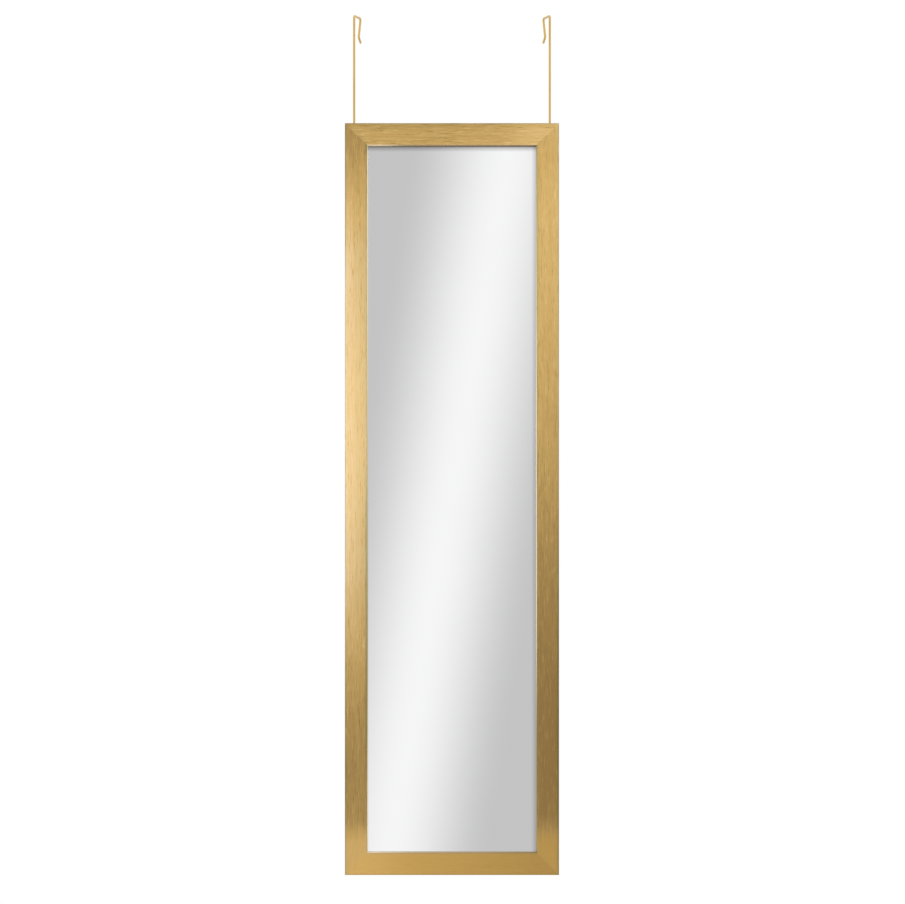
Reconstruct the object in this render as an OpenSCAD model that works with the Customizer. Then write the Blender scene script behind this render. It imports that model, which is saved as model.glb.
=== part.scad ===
// Tall framed mirror that hangs over the top of a door on two swivelling wire hooks.
// Origin: middle of the door's top edge, on the plane of the door's face.
// +X to the viewer's right, +Y into the door, +Z up. The mirror faces -Y. Millimetres.

/* [Mirror pane] */
// Width of the glass
glass_w = 304.8; // [250:0.1:400]
// Height of the glass
glass_h = 1219.2; // [900:0.1:1500]
// Thickness of the glass
glass_t = 3; // [2:0.5:4]
// Free space round the glass in its rebate
glass_gap = 1; // [0.5:0.1:2]
// Thickness of the hardboard behind the glass
board_t = 3; // [2:0.5:4]

/* [Moulding] */
// Thickness of the moulding, front to back
moulding_t = 18; // [16:0.5:24]
// Width of the solid wall outside the rebate
wall_w = 28.6; // [27:0.1:36]
// Width of the lip that covers the edge of the glass
lip_w = 10.6; // [8:0.1:14]
// Thickness of the lip
lip_t = 7; // [5:0.5:8]
// Rounding of the long outer edges
edge_r = 1.2; // [0.5:0.1:2]
// Width of the bevel along the sight edge, seen from the front
bevel_w = 2; // [1:0.1:3]
// Depth of that bevel
bevel_t = 2.5; // [1:0.1:4]

/* [Corner nails] */
// Length of each leg of a V nail
nail_leg = 8; // [6:0.5:9]
// Thickness of a V nail
nail_t = 0.5; // [0.4:0.1:0.8]
// How deep a V nail goes into the mitre
nail_depth = 10; // [7:0.5:11]
// Half the angle between the legs of a V nail
nail_angle = 35; // [25:1:45]
// Distance of the outer nail from each outer edge of the frame
nail_first = 5; // [4:0.5:8]
// Step from the outer nail to the inner nail, along each rail
nail_step = 11; // [9:0.5:13]

/* [Retaining points] */
// Number of steel points along each stile
points_long = 6; // [4:1:8]
// Number of steel points along each rail
points_short = 2; // [1:1:3]
// Whole length of a point
point_len = 15; // [12:0.5:18]
// Length of a point that is driven into the moulding
point_driven = 8; // [6:0.5:10]
// Width of a point
point_w = 7; // [5:0.5:9]
// Thickness of a point
point_t = 0.6; // [0.4:0.1:1]

/* [Wire hooks] */
// Diameter of the wire
wire_d = 3.8; // [3:0.1:4]
// Height of the door's top edge above the frame
hook_rise = 182.5; // [120:0.5:220]
// Distance of each shank from the frame's outer side edge
shank_inset = 15.2; // [14:0.1:16]
// Distance between the shank and the outer end of the bridge, wire centres
bridge_len = 48; // [40:1:56]
// Distance between the shank and the pinch, wire centres
pinch_out = 34; // [26:1:38]
// Drop from the bridge to the pinch, wire centres
pinch_drop = 33; // [24:1:40]
// Distance between the shank and the flared tip, wire centres
tip_out = 47; // [40:1:56]
// Drop from the bridge to the flared tip, wire centres
tip_drop = 41; // [38:0.5:50]
// Bend radius at the top of the shank, wire centre
shank_bend = 5; // [4:0.5:8]
// Bend radius at the outer end of the bridge, wire centre
bridge_bend = 4; // [3.5:0.5:6]
// Bend radius at the pinch, wire centre
pinch_bend = 3.5; // [3:0.5:5]
// Bend radius between the shank and its foot, wire centre
foot_bend = 4.5; // [4:0.5:6]
// Reach of the foot from the shank's centre
foot_reach = 9; // [8.5:0.5:12]
// How far each hook is swivelled inwards from straight back
hook_turn = 12; // [0:1:90]

/* [Hanger plates] */
// Width of a plate
plate_w = 24; // [22:0.5:26]
// Height of a plate
plate_h = 62; // [56:1:80]
// Thickness of a plate
plate_t = 1.2; // [1:0.1:1.5]
// Distance of a plate's top edge below the frame's top edge
plate_drop = 16; // [10:1:40]
// Corner radius of a plate
plate_corner = 3; // [1:0.5:5]
// Height of each pressed bridge over the wire
strap_h = 10; // [6:0.5:12]
// Radial play of the wire under a pressed bridge
wire_play = 0.1; // [0.05:0.01:0.1]
// Radius at the root of a pressed bridge
strap_root = 0.8; // [0.4:0.1:1]
// Distance of the upper bridge below the plate's top edge
strap_drop = 4; // [3:0.5:8]
// Width of the ledge under the foot
ledge_w = 14; // [10:0.5:18]
// Inner bend radius of the ledge
ledge_bend = 1; // [0.8:0.1:1.5]
// Gap between the foot and the ledge
ledge_gap = 0.3; // [0.2:0.1:1]

/* [Screws] */
// Diameter of every wood screw
screw_d = 3.5; // [3:0.1:4]
// Diameter of a screw's head
head_d = 7; // [6:0.1:7.5]
// Height of a screw's head
head_h = 2.2; // [1.8:0.1:2.6]
// Length of the conical end of a screw
screw_point = 3; // [2:0.5:4]
// Length of a hanger plate's screws under the head
plate_screw_len = 12.7; // [10:0.1:14]
// Length of a bumper's screws under the head
bumper_screw_len = 16; // [12:0.5:17]
// Half the distance across a plate between its screws
plate_screw_x = 7.9; // [7.8:0.1:8.4]
// Half the distance up a plate between its screws
plate_screw_z = 20; // [18:0.5:26]
// Diameter of the clearance holes for the screws
screw_hole_d = 4; // [3.8:0.1:4.5]

/* [Bumpers] */
// Height of a bumper, which is the gap between the frame and the door
bumper_h = 7; // [6:0.5:10]
// Diameter of a bumper at the frame
bumper_base_d = 18; // [16:0.5:22]
// Diameter of a bumper at the door
bumper_face_d = 15.5; // [14:0.5:19]
// Diameter of the recess round the screw's head
bumper_recess_d = 8.4; // [8:0.1:10]
// Thickness of rubber under the screw's head
bumper_floor = 3.6; // [2.5:0.1:5]
// Distance of each bumper from the middle of its rail
bumper_x = 130; // [90:1:150]
// Rounding of a bumper's outer rim
bumper_rim = 0.8; // [0.4:0.1:1.2]

/* [Hidden] */
$fn = 64;

// Colours as the photograph shows them, or as such pieces are
gold = "#c8a566";
steel = "#b9b6ae";
silver = "#d5d6d8";
hardboard = "#7a5a3c";
rubber = "#2b2b2c";

// The moulding and the frame
moulding_w = wall_w + lip_w;
pocket_w = glass_w + 2 * glass_gap;
pocket_h = glass_h + 2 * glass_gap;
frame_w = pocket_w + 2 * wall_w;
frame_h = pocket_h + 2 * wall_w;
frame_top = -hook_rise;
frame_mid = frame_top - frame_h / 2;
back_y = -bumper_h;
face_y = back_y - moulding_t;
glass_y = face_y + lip_t;
board_y = glass_y + glass_t;
point_y = board_y + board_t;
overcut = 1;

// The wire and its hook, with the bridge's underside at the door's top edge
wire_r = wire_d / 2;
shank_x = frame_w / 2 - shank_inset;
shank_y = back_y + plate_t + wire_play + wire_r;
bridge_z = wire_r;
hook_path = [[0, 0], [bridge_len, 0], [pinch_out, -pinch_drop], [tip_out, -tip_drop]];
// The wire is a hair fuller where it is bent, and each straight run ends just inside its bends
bend_swell = 0.02;
bend_bite = 0.2;

// The hanger plate, from its top edge down to its ledge
plate_top = frame_top - plate_drop;
plate_bottom = plate_top - plate_h;
plate_face = back_y + plate_t;
ledge_top = plate_bottom + plate_t;
ledge_reach = shank_y + wire_r;
foot_z = ledge_top + ledge_gap + wire_r;
shank_end = foot_z + foot_bend;
strap_in = wire_r + wire_play;
strap_out = strap_in + plate_t;
// The lower bridge reaches a little past the shank's straight part and bears on the foot's bend
strap_bearing = 0.4;
strap_levels = [plate_top - strap_drop - strap_h, shank_end - strap_bearing];
plate_screw_mid = (plate_top + plate_bottom) / 2;
plate_screws = [for (sx = [-1, 1], sz = [-1, 1]) [sx * plate_screw_x, plate_screw_mid + sz * plate_screw_z]];

// The bumpers, on the middle line of each rail's solid wall
bumper_top_z = frame_top - wall_w / 2;
bumper_bottom_z = frame_top - frame_h + wall_w / 2;
bumper_places = [for (sx = [-1, 1], z = [bumper_top_z, bumper_bottom_z]) [sx * bumper_x, z]];

// Places of the steel points along one side that has that many of them
function spread(count, span) = [for (i = [0:count - 1]) (i + 0.5) * span / count - span / 2];

// A unit vector along v
function unit(v) = v / norm(v);

// ---- moulding ----

// The bit of a square corner that lies outside a rounding of radius r
module corner_waste(r) {
    difference() {
        translate([-overcut, -overcut]) square(r + overcut);
        translate([r, r]) circle(r);
    }
}

// Section of the moulding: x is the depth from the front face, y the distance from the outer edge
module moulding_section() {
    difference() {
        polygon([
            [0, 0], [moulding_t, 0], [moulding_t, wall_w], [lip_t, wall_w],
            [lip_t, moulding_w], [bevel_t, moulding_w], [0, moulding_w - bevel_w]
        ]);
        corner_waste(edge_r);
        translate([moulding_t, 0]) mirror([1, 0]) corner_waste(edge_r / 2);
    }
}

// One mitred length of moulding, with its outer edge `reach` above the frame's middle
module rail(length, reach) {
    half = length / 2;
    intersection() {
        translate([0, face_y, reach]) mirror([0, 0, 1]) rotate([90, 0, 90])
            linear_extrude(length, center = true) moulding_section();
        translate([0, face_y - overcut, 0]) rotate([-90, 0, 0]) mirror([0, 1, 0])
            linear_extrude(moulding_t + 2 * overcut)
            polygon([
                [-half, reach], [half, reach],
                [half - moulding_w, reach - moulding_w], [moulding_w - half, reach - moulding_w]
            ]);
    }
}

// One of the four sides: turned from the top rail's place by `turn` degrees, and cut for its fasteners
module frame_side(turn, length, reach) {
    color(gold) difference() {
        translate([0, 0, frame_mid]) rotate([0, turn, 0]) rail(length, reach);
        v_nails();
        steel_points();
        plate_screw_set(1);
        plate_screw_set(-1);
        bumper_screw_set();
    }
}

module frame_top_rail() { frame_side(0, frame_w, frame_h / 2); }
module frame_bottom_rail() { frame_side(180, frame_w, frame_h / 2); }
module frame_left_stile() { frame_side(-90, frame_h, frame_w / 2); }
module frame_right_stile() { frame_side(90, frame_h, frame_w / 2); }

// ---- fasteners of the frame ----

// One V nail, driven into the back of a mitre: its point looks to the frame's outer corner
module v_nail() {
    for (side = [-1, 1]) rotate([0, side * nail_angle, 0])
        translate([0, back_y - nail_depth, -nail_t / 2]) cube([nail_leg, nail_depth, nail_t]);
}

// Two V nails in each of the four mitres
module v_nails() {
    for (sx = [-1, 1], sz = [-1, 1], i = [0, 1]) {
        inset = nail_first + i * nail_step;
        translate([sx * (frame_w / 2 - inset), 0, frame_mid + sz * (frame_h / 2 - inset)])
            rotate([0, sz * (90 + sx * 45), 0]) v_nail();
    }
}

module corner_v_nails() { color(steel) v_nails(); }

// One steel point, driven into the rebate's wall at `reach` from the frame's middle
module steel_point(reach) {
    shoulder = point_w / 3;
    translate([0, point_y + point_t, reach + point_driven]) rotate([90, 0, 0])
        linear_extrude(point_t)
        polygon([
            [-point_w / 2, -point_len], [point_w / 2, -point_len],
            [point_w / 2, -shoulder], [0, 0], [-point_w / 2, -shoulder]
        ]);
}

// Steel points all round, holding the board against the glass
module steel_points() {
    translate([0, 0, frame_mid]) for (turn = [0, 180]) {
        rotate([0, turn, 0]) for (x = spread(points_short, pocket_w))
            translate([x, 0, 0]) steel_point(pocket_h / 2);
        rotate([0, turn + 90, 0]) for (x = spread(points_long, pocket_h))
            translate([x, 0, 0]) steel_point(pocket_w / 2);
    }
}

module retaining_points() { color(steel) steel_points(); }

// ---- pane and board ----

// A flat sheet that fills the rebate apart from `gap` on each side
module sheet(front_y, thickness, gap) {
    w = pocket_w - 2 * gap;
    h = pocket_h - 2 * gap;
    translate([-w / 2, front_y, frame_mid - h / 2]) cube([w, thickness, h]);
}

module mirror_glass() { color(silver) sheet(glass_y, glass_t, glass_gap); }
module backing_board() { color(hardboard) sheet(board_y, board_t, glass_gap / 2); }

// ---- screws ----

// A pan-head wood screw along +Y: its head stands on the plane y = 0 and its point looks to -Y
module wood_screw(length) {
    dome_r = head_d * 0.7;
    slot_w = 0.9;
    slot_l = head_d * 0.55;
    rotate([-90, 0, 0]) difference() {
        union() {
            intersection() {
                cylinder(d = head_d, h = head_h);
                translate([0, 0, head_h - dome_r]) sphere(dome_r);
            }
            translate([0, 0, screw_point - length]) cylinder(d = screw_d, h = length - screw_point);
            translate([0, 0, -length]) cylinder(d1 = 0.4, d2 = screw_d, h = screw_point);
        }
        for (turn = [45, 135]) rotate([0, 0, turn])
            translate([-slot_l / 2, -slot_w / 2, head_h / 3]) cube([slot_l, slot_w, head_h]);
    }
}

// The four screws of the plate on one side: -1 is left and 1 is right
module plate_screw_set(side) {
    for (p = plate_screws)
        translate([side * (shank_x + p[0]), plate_face, p[1]]) wood_screw(plate_screw_len);
}

// The four screws of the bumpers
module bumper_screw_set() {
    for (p = bumper_places)
        translate([p[0], back_y + bumper_floor, p[1]]) wood_screw(bumper_screw_len);
}

module hanger_screws_left() { color(steel) plate_screw_set(-1); }
module hanger_screws_right() { color(steel) plate_screw_set(1); }
module bumper_screws() { color(steel) bumper_screw_set(); }

// ---- hanger plates ----

// A flat rectangle about the origin, with round corners
module round_rectangle(w, h, r) {
    square([w - 2 * r, h], center = true);
    square([w, h - 2 * r], center = true);
    for (sx = [-1, 1], sy = [-1, 1]) translate([sx * (w / 2 - r), sy * (h / 2 - r)]) circle(r);
}

// Section of a pressed bridge about the wire: y = 0 is the plate's outer face
module strap_section() {
    rise = wire_play + wire_r;
    difference() {
        union() {
            translate([0, rise]) circle(strap_out);
            translate([-strap_out, 0]) square([2 * strap_out, rise]);
            translate([-strap_out - strap_root, 0]) square([2 * (strap_out + strap_root), strap_root]);
        }
        translate([0, rise]) circle(strap_in);
        translate([-strap_in, -strap_out]) square([2 * strap_in, strap_out + rise]);
        translate([-2 * strap_out, -2 * strap_out]) square([4 * strap_out, 2 * strap_out]);
        for (side = [-1, 1]) translate([side * (strap_out + strap_root), strap_root]) circle(strap_root);
    }
}

// Section of the ledge: x is the distance out from the frame's back, y the height from its underside
module ledge_section() {
    outer = ledge_bend + plate_t;
    reach = ledge_reach - back_y;
    difference() {
        translate([outer, outer]) circle(outer);
        translate([outer, outer]) circle(ledge_bend);
        translate([outer, -overcut]) square(2 * outer + overcut);
        translate([-overcut, outer]) square(2 * outer + overcut);
    }
    translate([outer, 0]) square([reach - outer, plate_t]);
    translate([0, outer]) square([plate_t, plate_t]);
}

// One pressed plate, drawn about the left shank's axis
module hanger_plate() {
    outer = ledge_bend + plate_t;
    flat_h = plate_h - outer;
    difference() {
        union() {
            translate([0, plate_face, plate_top - flat_h / 2]) rotate([90, 0, 0])
                linear_extrude(plate_t) round_rectangle(plate_w, flat_h, plate_corner);
            for (z = strap_levels) translate([0, plate_face, z])
                linear_extrude(strap_h) strap_section();
            translate([0, back_y, plate_bottom]) rotate([90, 0, 90])
                linear_extrude(ledge_w, center = true) ledge_section();
        }
        for (z = strap_levels) translate([-strap_in, back_y - overcut, z])
            cube([2 * strap_in, plate_t + overcut, strap_h]);
        for (p = plate_screws) translate([p[0], back_y - overcut, p[1]]) rotate([-90, 0, 0])
            cylinder(d = screw_hole_d, h = plate_t + 2 * overcut);
    }
}

module hanger_plate_left() { color(steel) translate([-shank_x, 0, 0]) hanger_plate(); }
module hanger_plate_right() { color(steel) mirror([1, 0, 0]) hanger_plate_left(); }

// ---- wire hooks ----

// A straight piece of wire between two points of the XY plane, with a round far end if it is the last
module wire_between(a, b, is_last) {
    d = b - a;
    translate(a) rotate([0, 90, atan2(d[1], d[0])]) {
        cylinder(r = wire_r, h = norm(d));
        if (is_last) translate([0, 0, norm(d)]) sphere(wire_r);
    }
}

// How much of a straight run a bend of radius r takes up at the corner b
function bend_run(a, b, c, r) = r / tan(acos(unit(a - b) * unit(c - b)) / 2);

// A bend of radius r that rounds the corner at b, on the way from a to c
module wire_bend(a, b, c, r) {
    u = unit(a - b);
    v = unit(c - b);
    turn = 180 - acos(u * v);
    centre = b + unit(u + v) * r / cos(turn / 2);
    from = b + u * bend_run(a, b, c, r) - centre;
    to = b + v * bend_run(a, b, c, r) - centre;
    turns_left = from[0] * to[1] - from[1] * to[0] > 0;
    first = turns_left ? from : to;
    translate(centre) rotate([0, 0, atan2(first[1], first[0])])
        rotate_extrude(angle = turn) translate([r, 0]) circle(wire_r + bend_swell);
}

// A wire through the points of the XY plane, with a bend at each inner corner and a round last end
module wire_run(points, bends) {
    last = len(points) - 1;
    cuts = [for (i = [0:last]) i == 0 || i == last ? 0
        : bend_run(points[i - 1], points[i], points[i + 1], bends[i - 1]) - bend_bite];
    for (i = [0:last - 1]) {
        along = unit(points[i + 1] - points[i]);
        wire_between(points[i] + along * cuts[i], points[i + 1] - along * cuts[i + 1], i == last - 1);
    }
    for (i = [1:last - 1]) wire_bend(points[i - 1], points[i], points[i + 1], bends[i - 1]);
}

// The left hook about its shank's axis, straight back, with its foot to the outside
module hook_wire() {
    shank_mid = (frame_top + plate_top) / 2;
    translate([0, 0, bridge_z]) rotate([90, 0, 90])
        wire_run(concat([[0, shank_mid - bridge_z]], hook_path), [shank_bend, bridge_bend, pinch_bend]);
    rotate([90, 0, 0])
        wire_run([[0, shank_mid], [0, foot_z], [wire_r - foot_reach, foot_z]], [foot_bend]);
}

module hook_left() {
    color(gold) translate([-shank_x, shank_y, 0]) rotate([0, 0, -hook_turn]) hook_wire();
}

module hook_right() { mirror([1, 0, 0]) hook_left(); }

// ---- bumpers ----

// A tapered rubber foot with a recess for its screw
module bumper(x, z) {
    base_r = bumper_base_d / 2;
    face_r = bumper_face_d / 2;
    rim_r = base_r + (face_r - base_r) * (bumper_h - bumper_rim) / bumper_h;
    color(rubber) translate([x, back_y, z]) rotate([-90, 0, 0]) rotate_extrude() difference() {
        union() {
            polygon([
                [screw_hole_d / 2, 0], [base_r, 0], [rim_r, bumper_h - bumper_rim],
                [rim_r - bumper_rim, bumper_h], [screw_hole_d / 2, bumper_h]
            ]);
            translate([rim_r - bumper_rim, bumper_h - bumper_rim]) circle(bumper_rim);
        }
        translate([0, bumper_floor]) square([bumper_recess_d / 2, bumper_h]);
    }
}

module bumper_top_left() { bumper(-bumper_x, bumper_top_z); }
module bumper_top_right() { bumper(bumper_x, bumper_top_z); }
module bumper_bottom_left() { bumper(-bumper_x, bumper_bottom_z); }
module bumper_bottom_right() { bumper(bumper_x, bumper_bottom_z); }

frame_top_rail();
frame_bottom_rail();
frame_left_stile();
frame_right_stile();
corner_v_nails();
mirror_glass();
backing_board();
retaining_points();
hanger_plate_left();
hanger_plate_right();
hanger_screws_left();
hanger_screws_right();
hook_left();
hook_right();
bumper_top_left();
bumper_top_right();
bumper_bottom_left();
bumper_bottom_right();
bumper_screws();
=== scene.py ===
"""Looks of the framed mirror that hangs over a door: foil, silvering, wire, plating, board and rubber.

Everything is in metres in the frame of the CAD model: +X to the viewer's right, +Y into the door,
+Z up. A rise is a height above the frame's middle, and an inset a distance in from its outer edge.
"""
import math

import bpy
import numpy as np
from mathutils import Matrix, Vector


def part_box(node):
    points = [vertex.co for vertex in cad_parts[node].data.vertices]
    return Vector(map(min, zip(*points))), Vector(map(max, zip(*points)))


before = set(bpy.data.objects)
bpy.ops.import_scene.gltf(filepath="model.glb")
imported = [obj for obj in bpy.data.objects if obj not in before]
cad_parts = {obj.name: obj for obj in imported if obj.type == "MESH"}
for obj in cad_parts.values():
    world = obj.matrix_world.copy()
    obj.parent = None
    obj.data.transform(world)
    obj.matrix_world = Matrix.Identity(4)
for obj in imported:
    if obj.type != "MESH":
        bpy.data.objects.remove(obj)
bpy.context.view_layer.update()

# The photograph and how it was taken
PHOTO_W = 905
PHOTO_H = 904
METRES_PER_PX = 0.0017
VIEW_DISTANCE = 7.0
SENSOR_MM = 36.0
CAMERA_X = 0.0009
CAMERA_RISE = 0.0800

# Places of the frame, read off the CAD nodes
STILE_LOW, STILE_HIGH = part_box("frame_left_stile")
RIGHT_LOW, RIGHT_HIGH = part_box("frame_right_stile")
TOP_LOW, TOP_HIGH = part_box("frame_top_rail")
BOTTOM_LOW, BOTTOM_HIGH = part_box("frame_bottom_rail")
GLASS_LOW, GLASS_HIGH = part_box("mirror_glass")
BOARD_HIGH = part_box("backing_board")[1]
HALF_W = RIGHT_HIGH.x
HALF_H = (TOP_HIGH.z - BOTTOM_LOW.z) / 2
MID_Z = (TOP_HIGH.z + BOTTOM_LOW.z) / 2
CAMERA_Z = MID_Z + CAMERA_RISE
FACE_Y = STILE_LOW.y
BACK_Y = STILE_HIGH.y
SIGHT_X = RIGHT_LOW.x
SIGHT_TOP = TOP_LOW.z
SIGHT_BOTTOM = BOTTOM_HIGH.z
MOULDING_W = HALF_W - SIGHT_X
# Inset of the backing board's edge
BOARD_INSET = HALF_W - BOARD_HIGH.x

# How near to a back, and to the depth of an edge, a place has to be to count as on it
ON_BACK = 0.0002
ON_EDGE = 0.0001

WHITE = (1.0, 1.0, 1.0, 1.0)

# The colour sockets of Blender's Mix node
MIX_A = 6
MIX_B = 7
MIX_RESULT = 2


class Recipe:
    """One material's nodes, worked out from places on the object.

    Each call adds nodes, links or sets their inputs, and gives back the output of the last one.
    """

    def __init__(self, name):
        """An empty material with its output, and a place's x, y, z and rise."""
        self.material = bpy.data.materials.new(name)
        self.material.use_nodes = True
        self.tree = self.material.node_tree
        self.tree.nodes.clear()
        self.out = self.tree.nodes.new("ShaderNodeOutputMaterial")
        place = self.tree.nodes.new("ShaderNodeTexCoord")
        self.place = place.outputs["Object"]
        split = self.node("ShaderNodeSeparateXYZ", Vector=self.place)
        self.x, self.y, self.z = split.outputs[:3]
        self.rise = self.math("SUBTRACT", self.z, MID_Z)

    def node(self, kind, **inputs):
        """A node of this kind with its inputs put by name. This call gives back the node itself."""
        made = self.tree.nodes.new(kind)
        for name, value in inputs.items():
            self.put(made.inputs[name], value)
        return made

    def put(self, socket, value):
        """Links the socket to another node's output, or sets it to a number, a colour or a vector."""
        if isinstance(value, bpy.types.NodeSocket):
            self.tree.links.new(value, socket)
        elif value is not None:
            socket.default_value = value[:3] if socket.type == "VECTOR" else value

    def math(self, operation, a, b=None, c=None):
        """One operation on one, two or three numbers."""
        made = self.tree.nodes.new("ShaderNodeMath")
        made.operation = operation
        for socket, value in zip(made.inputs, (a, b, c)):
            self.put(socket, value)
        return made.outputs[0]

    def span(self, value, low, high, to_low=0.0, to_high=1.0, smooth=True):
        """value carried from low..high to to_low..to_high and held there, smoothly or in a line."""
        made = self.tree.nodes.new("ShaderNodeMapRange")
        made.interpolation_type = "SMOOTHSTEP" if smooth else "LINEAR"
        for name, number in zip(("Value", "From Min", "From Max", "To Min", "To Max"),
                                (value, low, high, to_low, to_high)):
            self.put(made.inputs[name], number)
        return made.outputs[0]

    def blend(self, factor, a, b):
        """The number a where factor is 0, b where it is 1, and in proportion between."""
        return self.span(factor, 0.0, 1.0, a, b, smooth=False)

    def noise(self, cells, detail=2.0, roughness=0.5, seed=0.0):
        """Noise of 0 to 1 on the object's coordinates, in cells per metre along x, y and z."""
        moved = self.node("ShaderNodeMapping", Vector=self.place, Scale=cells,
                          Location=(seed, seed, seed))
        made = self.node("ShaderNodeTexNoise", Vector=moved.outputs[0], Scale=1.0,
                         Detail=detail, Roughness=roughness)
        return made.outputs["Fac"]

    def swing(self, noise, amount):
        """How far a noise is above its middle, one half, times an amount."""
        return self.math("MULTIPLY", self.math("SUBTRACT", noise, 0.5), amount)

    def weighed(self, a, a_share, b, b_share):
        """a times its share plus b times its share."""
        return self.math("ADD", self.math("MULTIPLY", a, a_share), self.math("MULTIPLY", b, b_share))

    def mix(self, factor, a, b, how="MIX"):
        """Colour a turned into b, or into a times b where how is MULTIPLY, as far as factor says."""
        made = self.tree.nodes.new("ShaderNodeMix")
        made.data_type = "RGBA"
        made.blend_type = how
        self.put(made.inputs["Factor"], factor)
        self.put(made.inputs[MIX_A], a)
        self.put(made.inputs[MIX_B], b)
        return made.outputs[MIX_RESULT]

    def scaled(self, colour, factor):
        """A colour times a number."""
        made = self.tree.nodes.new("ShaderNodeVectorMath")
        made.operation = "SCALE"
        self.put(made.inputs[0], colour)
        self.put(made.inputs["Scale"], factor)
        return made.outputs[0]

    def ramp(self, value, stops):
        """The colour at value, in straight lines between stops of place and colour."""
        made = self.node("ShaderNodeValToRGB", Fac=value)
        points = made.color_ramp.elements
        while len(points) < len(stops):
            points.new(1.0)
        for point, (at, colour) in zip(points, stops):
            point.position = at
            point.color = colour
        return made.outputs[0]

    def bump(self, height, depth, strength=1.0):
        """The surface's normal as if it stood out by depth times height, in the share strength."""
        made = self.node("ShaderNodeBump", Height=height, Distance=depth, Strength=strength)
        return made.outputs[0]

    def finish(self, **inputs):
        """The material with its shader, whose sockets are put by name, with _ for a space."""
        shader = self.node("ShaderNodeBsdfPrincipled")
        for name, value in inputs.items():
            self.put(shader.inputs[name.replace("_", " ")], value)
        self.tree.links.new(shader.outputs[0], self.out.inputs["Surface"])
        return self.material


def rgb(red, green, blue):
    """A colour written as it looks on screen, 0 to 255, as Blender's linear colour.

    The screen's curve is a line below 0.04045, and the power 2.4 of (shown + 0.055) / 1.055 above.
    """
    shown = np.array([red, green, blue]) / 255
    linear = np.where(shown <= 0.04045, shown / 12.92, ((shown + 0.055) / 1.055) ** 2.4)
    return (*(float(v) for v in linear), 1.0)


def wear(node, material):
    """The CAD node shows this material alone."""
    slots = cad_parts[node].data.materials
    slots.clear()
    slots.append(material)


# ---- camera ----

def make_camera():
    """Level camera straight before the frame, VIEW_DISTANCE from its face.

    Its focal length is the sensor's width times the distance, over the width in the photograph.
    """
    data = bpy.data.cameras.new("camera")
    data.sensor_width = SENSOR_MM
    data.lens = SENSOR_MM * VIEW_DISTANCE / (PHOTO_W * METRES_PER_PX)
    camera = bpy.data.objects.new("camera", data)
    camera.location = (CAMERA_X, FACE_Y - VIEW_DISTANCE, CAMERA_Z)
    camera.rotation_euler = (math.radians(90), 0, 0)
    bpy.context.scene.collection.objects.link(camera)
    bpy.context.scene.camera = camera


# ---- gold foil moulding ----

# Axis along which the foil's grain runs: x on the rails and z on the stiles
ALONG_X = 0
ALONG_Z = 2

# The gold's colours by tone, whose pale end is the colour of the painted sheen
FOIL_DEEP = rgb(148, 119, 70)
FOIL_GOLD = rgb(192, 159, 97)
FOIL_WARM = rgb(205, 172, 111)
FOIL_PALE = rgb(218, 190, 139)
FOIL_TONES = ((0.0, FOIL_DEEP), (0.5, FOIL_GOLD), (0.75, FOIL_WARM), (1.0, FOIL_PALE))

# What the gold is multiplied by for its painted light: -2 deep painted shade, -1 painted shade, 0 even,
# 1 painted gleam
PAINTED_DEEPEST = -2.0
PAINTED_BRIGHTEST = 1.0
PAINTED_DEEP_SHADE = (0.66, 0.72, 0.66, 1.0)
SHADED = (0.86, 0.86, 0.80, 1.0)
GLEAMING = (1.13, 1.14, 1.28, 1.0)
PAINTED_LIGHT_TINTS = ((0.0, PAINTED_DEEP_SHADE), (1 / 3, SHADED), (2 / 3, WHITE), (1.0, GLEAMING))

# What the gold is multiplied by at the foot, and by painted light along the outer arris and beside the
# bevel
FOOT_WARMTH = (1.0, 0.94, 0.78, 1.0)
ARRIS_PAINTED_REFLECTION = (0.92, 1.02, 1.28, 1.0)
# Painted light beside the bevel: shade on the left, a highlight on the top, a cool reflection on the
# right and a cool shade on the bottom
LEFT_PAINTED_BESIDE_BEVEL = (0.84, 0.94, 1.1, 1.0)
TOP_PAINTED_BESIDE_BEVEL = (1.08, 1.06, 1.12, 1.0)
RIGHT_PAINTED_BESIDE_BEVEL = (0.88, 1.05, 1.32, 1.0)
BOTTOM_PAINTED_BESIDE_BEVEL = (0.84, 0.93, 1.3, 1.0)

# Noises of the grain, in cells per metre across and along it
HAIRS = (4600, 16)
FINE_GRAIN = (1500, 26)
DASHES = (950, 48)
BROAD_BANDS = (160, 4)
# How much each of them sways the gold's tone, the bevel's tone and the roughness
HAIRS_IN_TONE = 0.5
FINE_IN_TONE = 0.46
BROAD_IN_TONE = 0.26
FINE_IN_BEVEL = 0.3
FINE_IN_ROUGH = 0.12
HAIRS_IN_ROUGH = 0.14
# Where the dashes' noise is high the foil is scored, and where it is low it shines: from, to, amounts
SCORED = (0.62, 0.72, 0.0, 0.32)
SHINING = (0.38, 0.28, 0.0, 0.30)
# Paleness from which to which the grain grows livelier, and how lively it is there
LIVELY_FROM = 0.1
LIVELY_TO = 0.9
LEAST_LIVELY = 0.78
MOST_LIVELY = 1.35
TOP_LIVELINESS = 1.25
FOOT_CALM = 0.22

FOIL_ROUGH = 0.36
FOIL_BRUSHED = 0.6
FOIL_BUMP = 0.00005
FOIL_BUMP_STRENGTH = 0.6

# The outer sides: depths behind the face at which they begin, how far in they reach, their looks
SIDE_FROM = 0.001
SIDE_TO = 0.003
SIDE_REACH = 0.006
SIDE_PALENESS = 0.42
SIDE_CALM = 0.55

# The outer arris: insets between which its painted reflection ends, and how deep it goes
ARRIS_FROM = 0.0016
ARRIS_TO = 0.0034
ARRIS_DEPTH = 0.002

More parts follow.
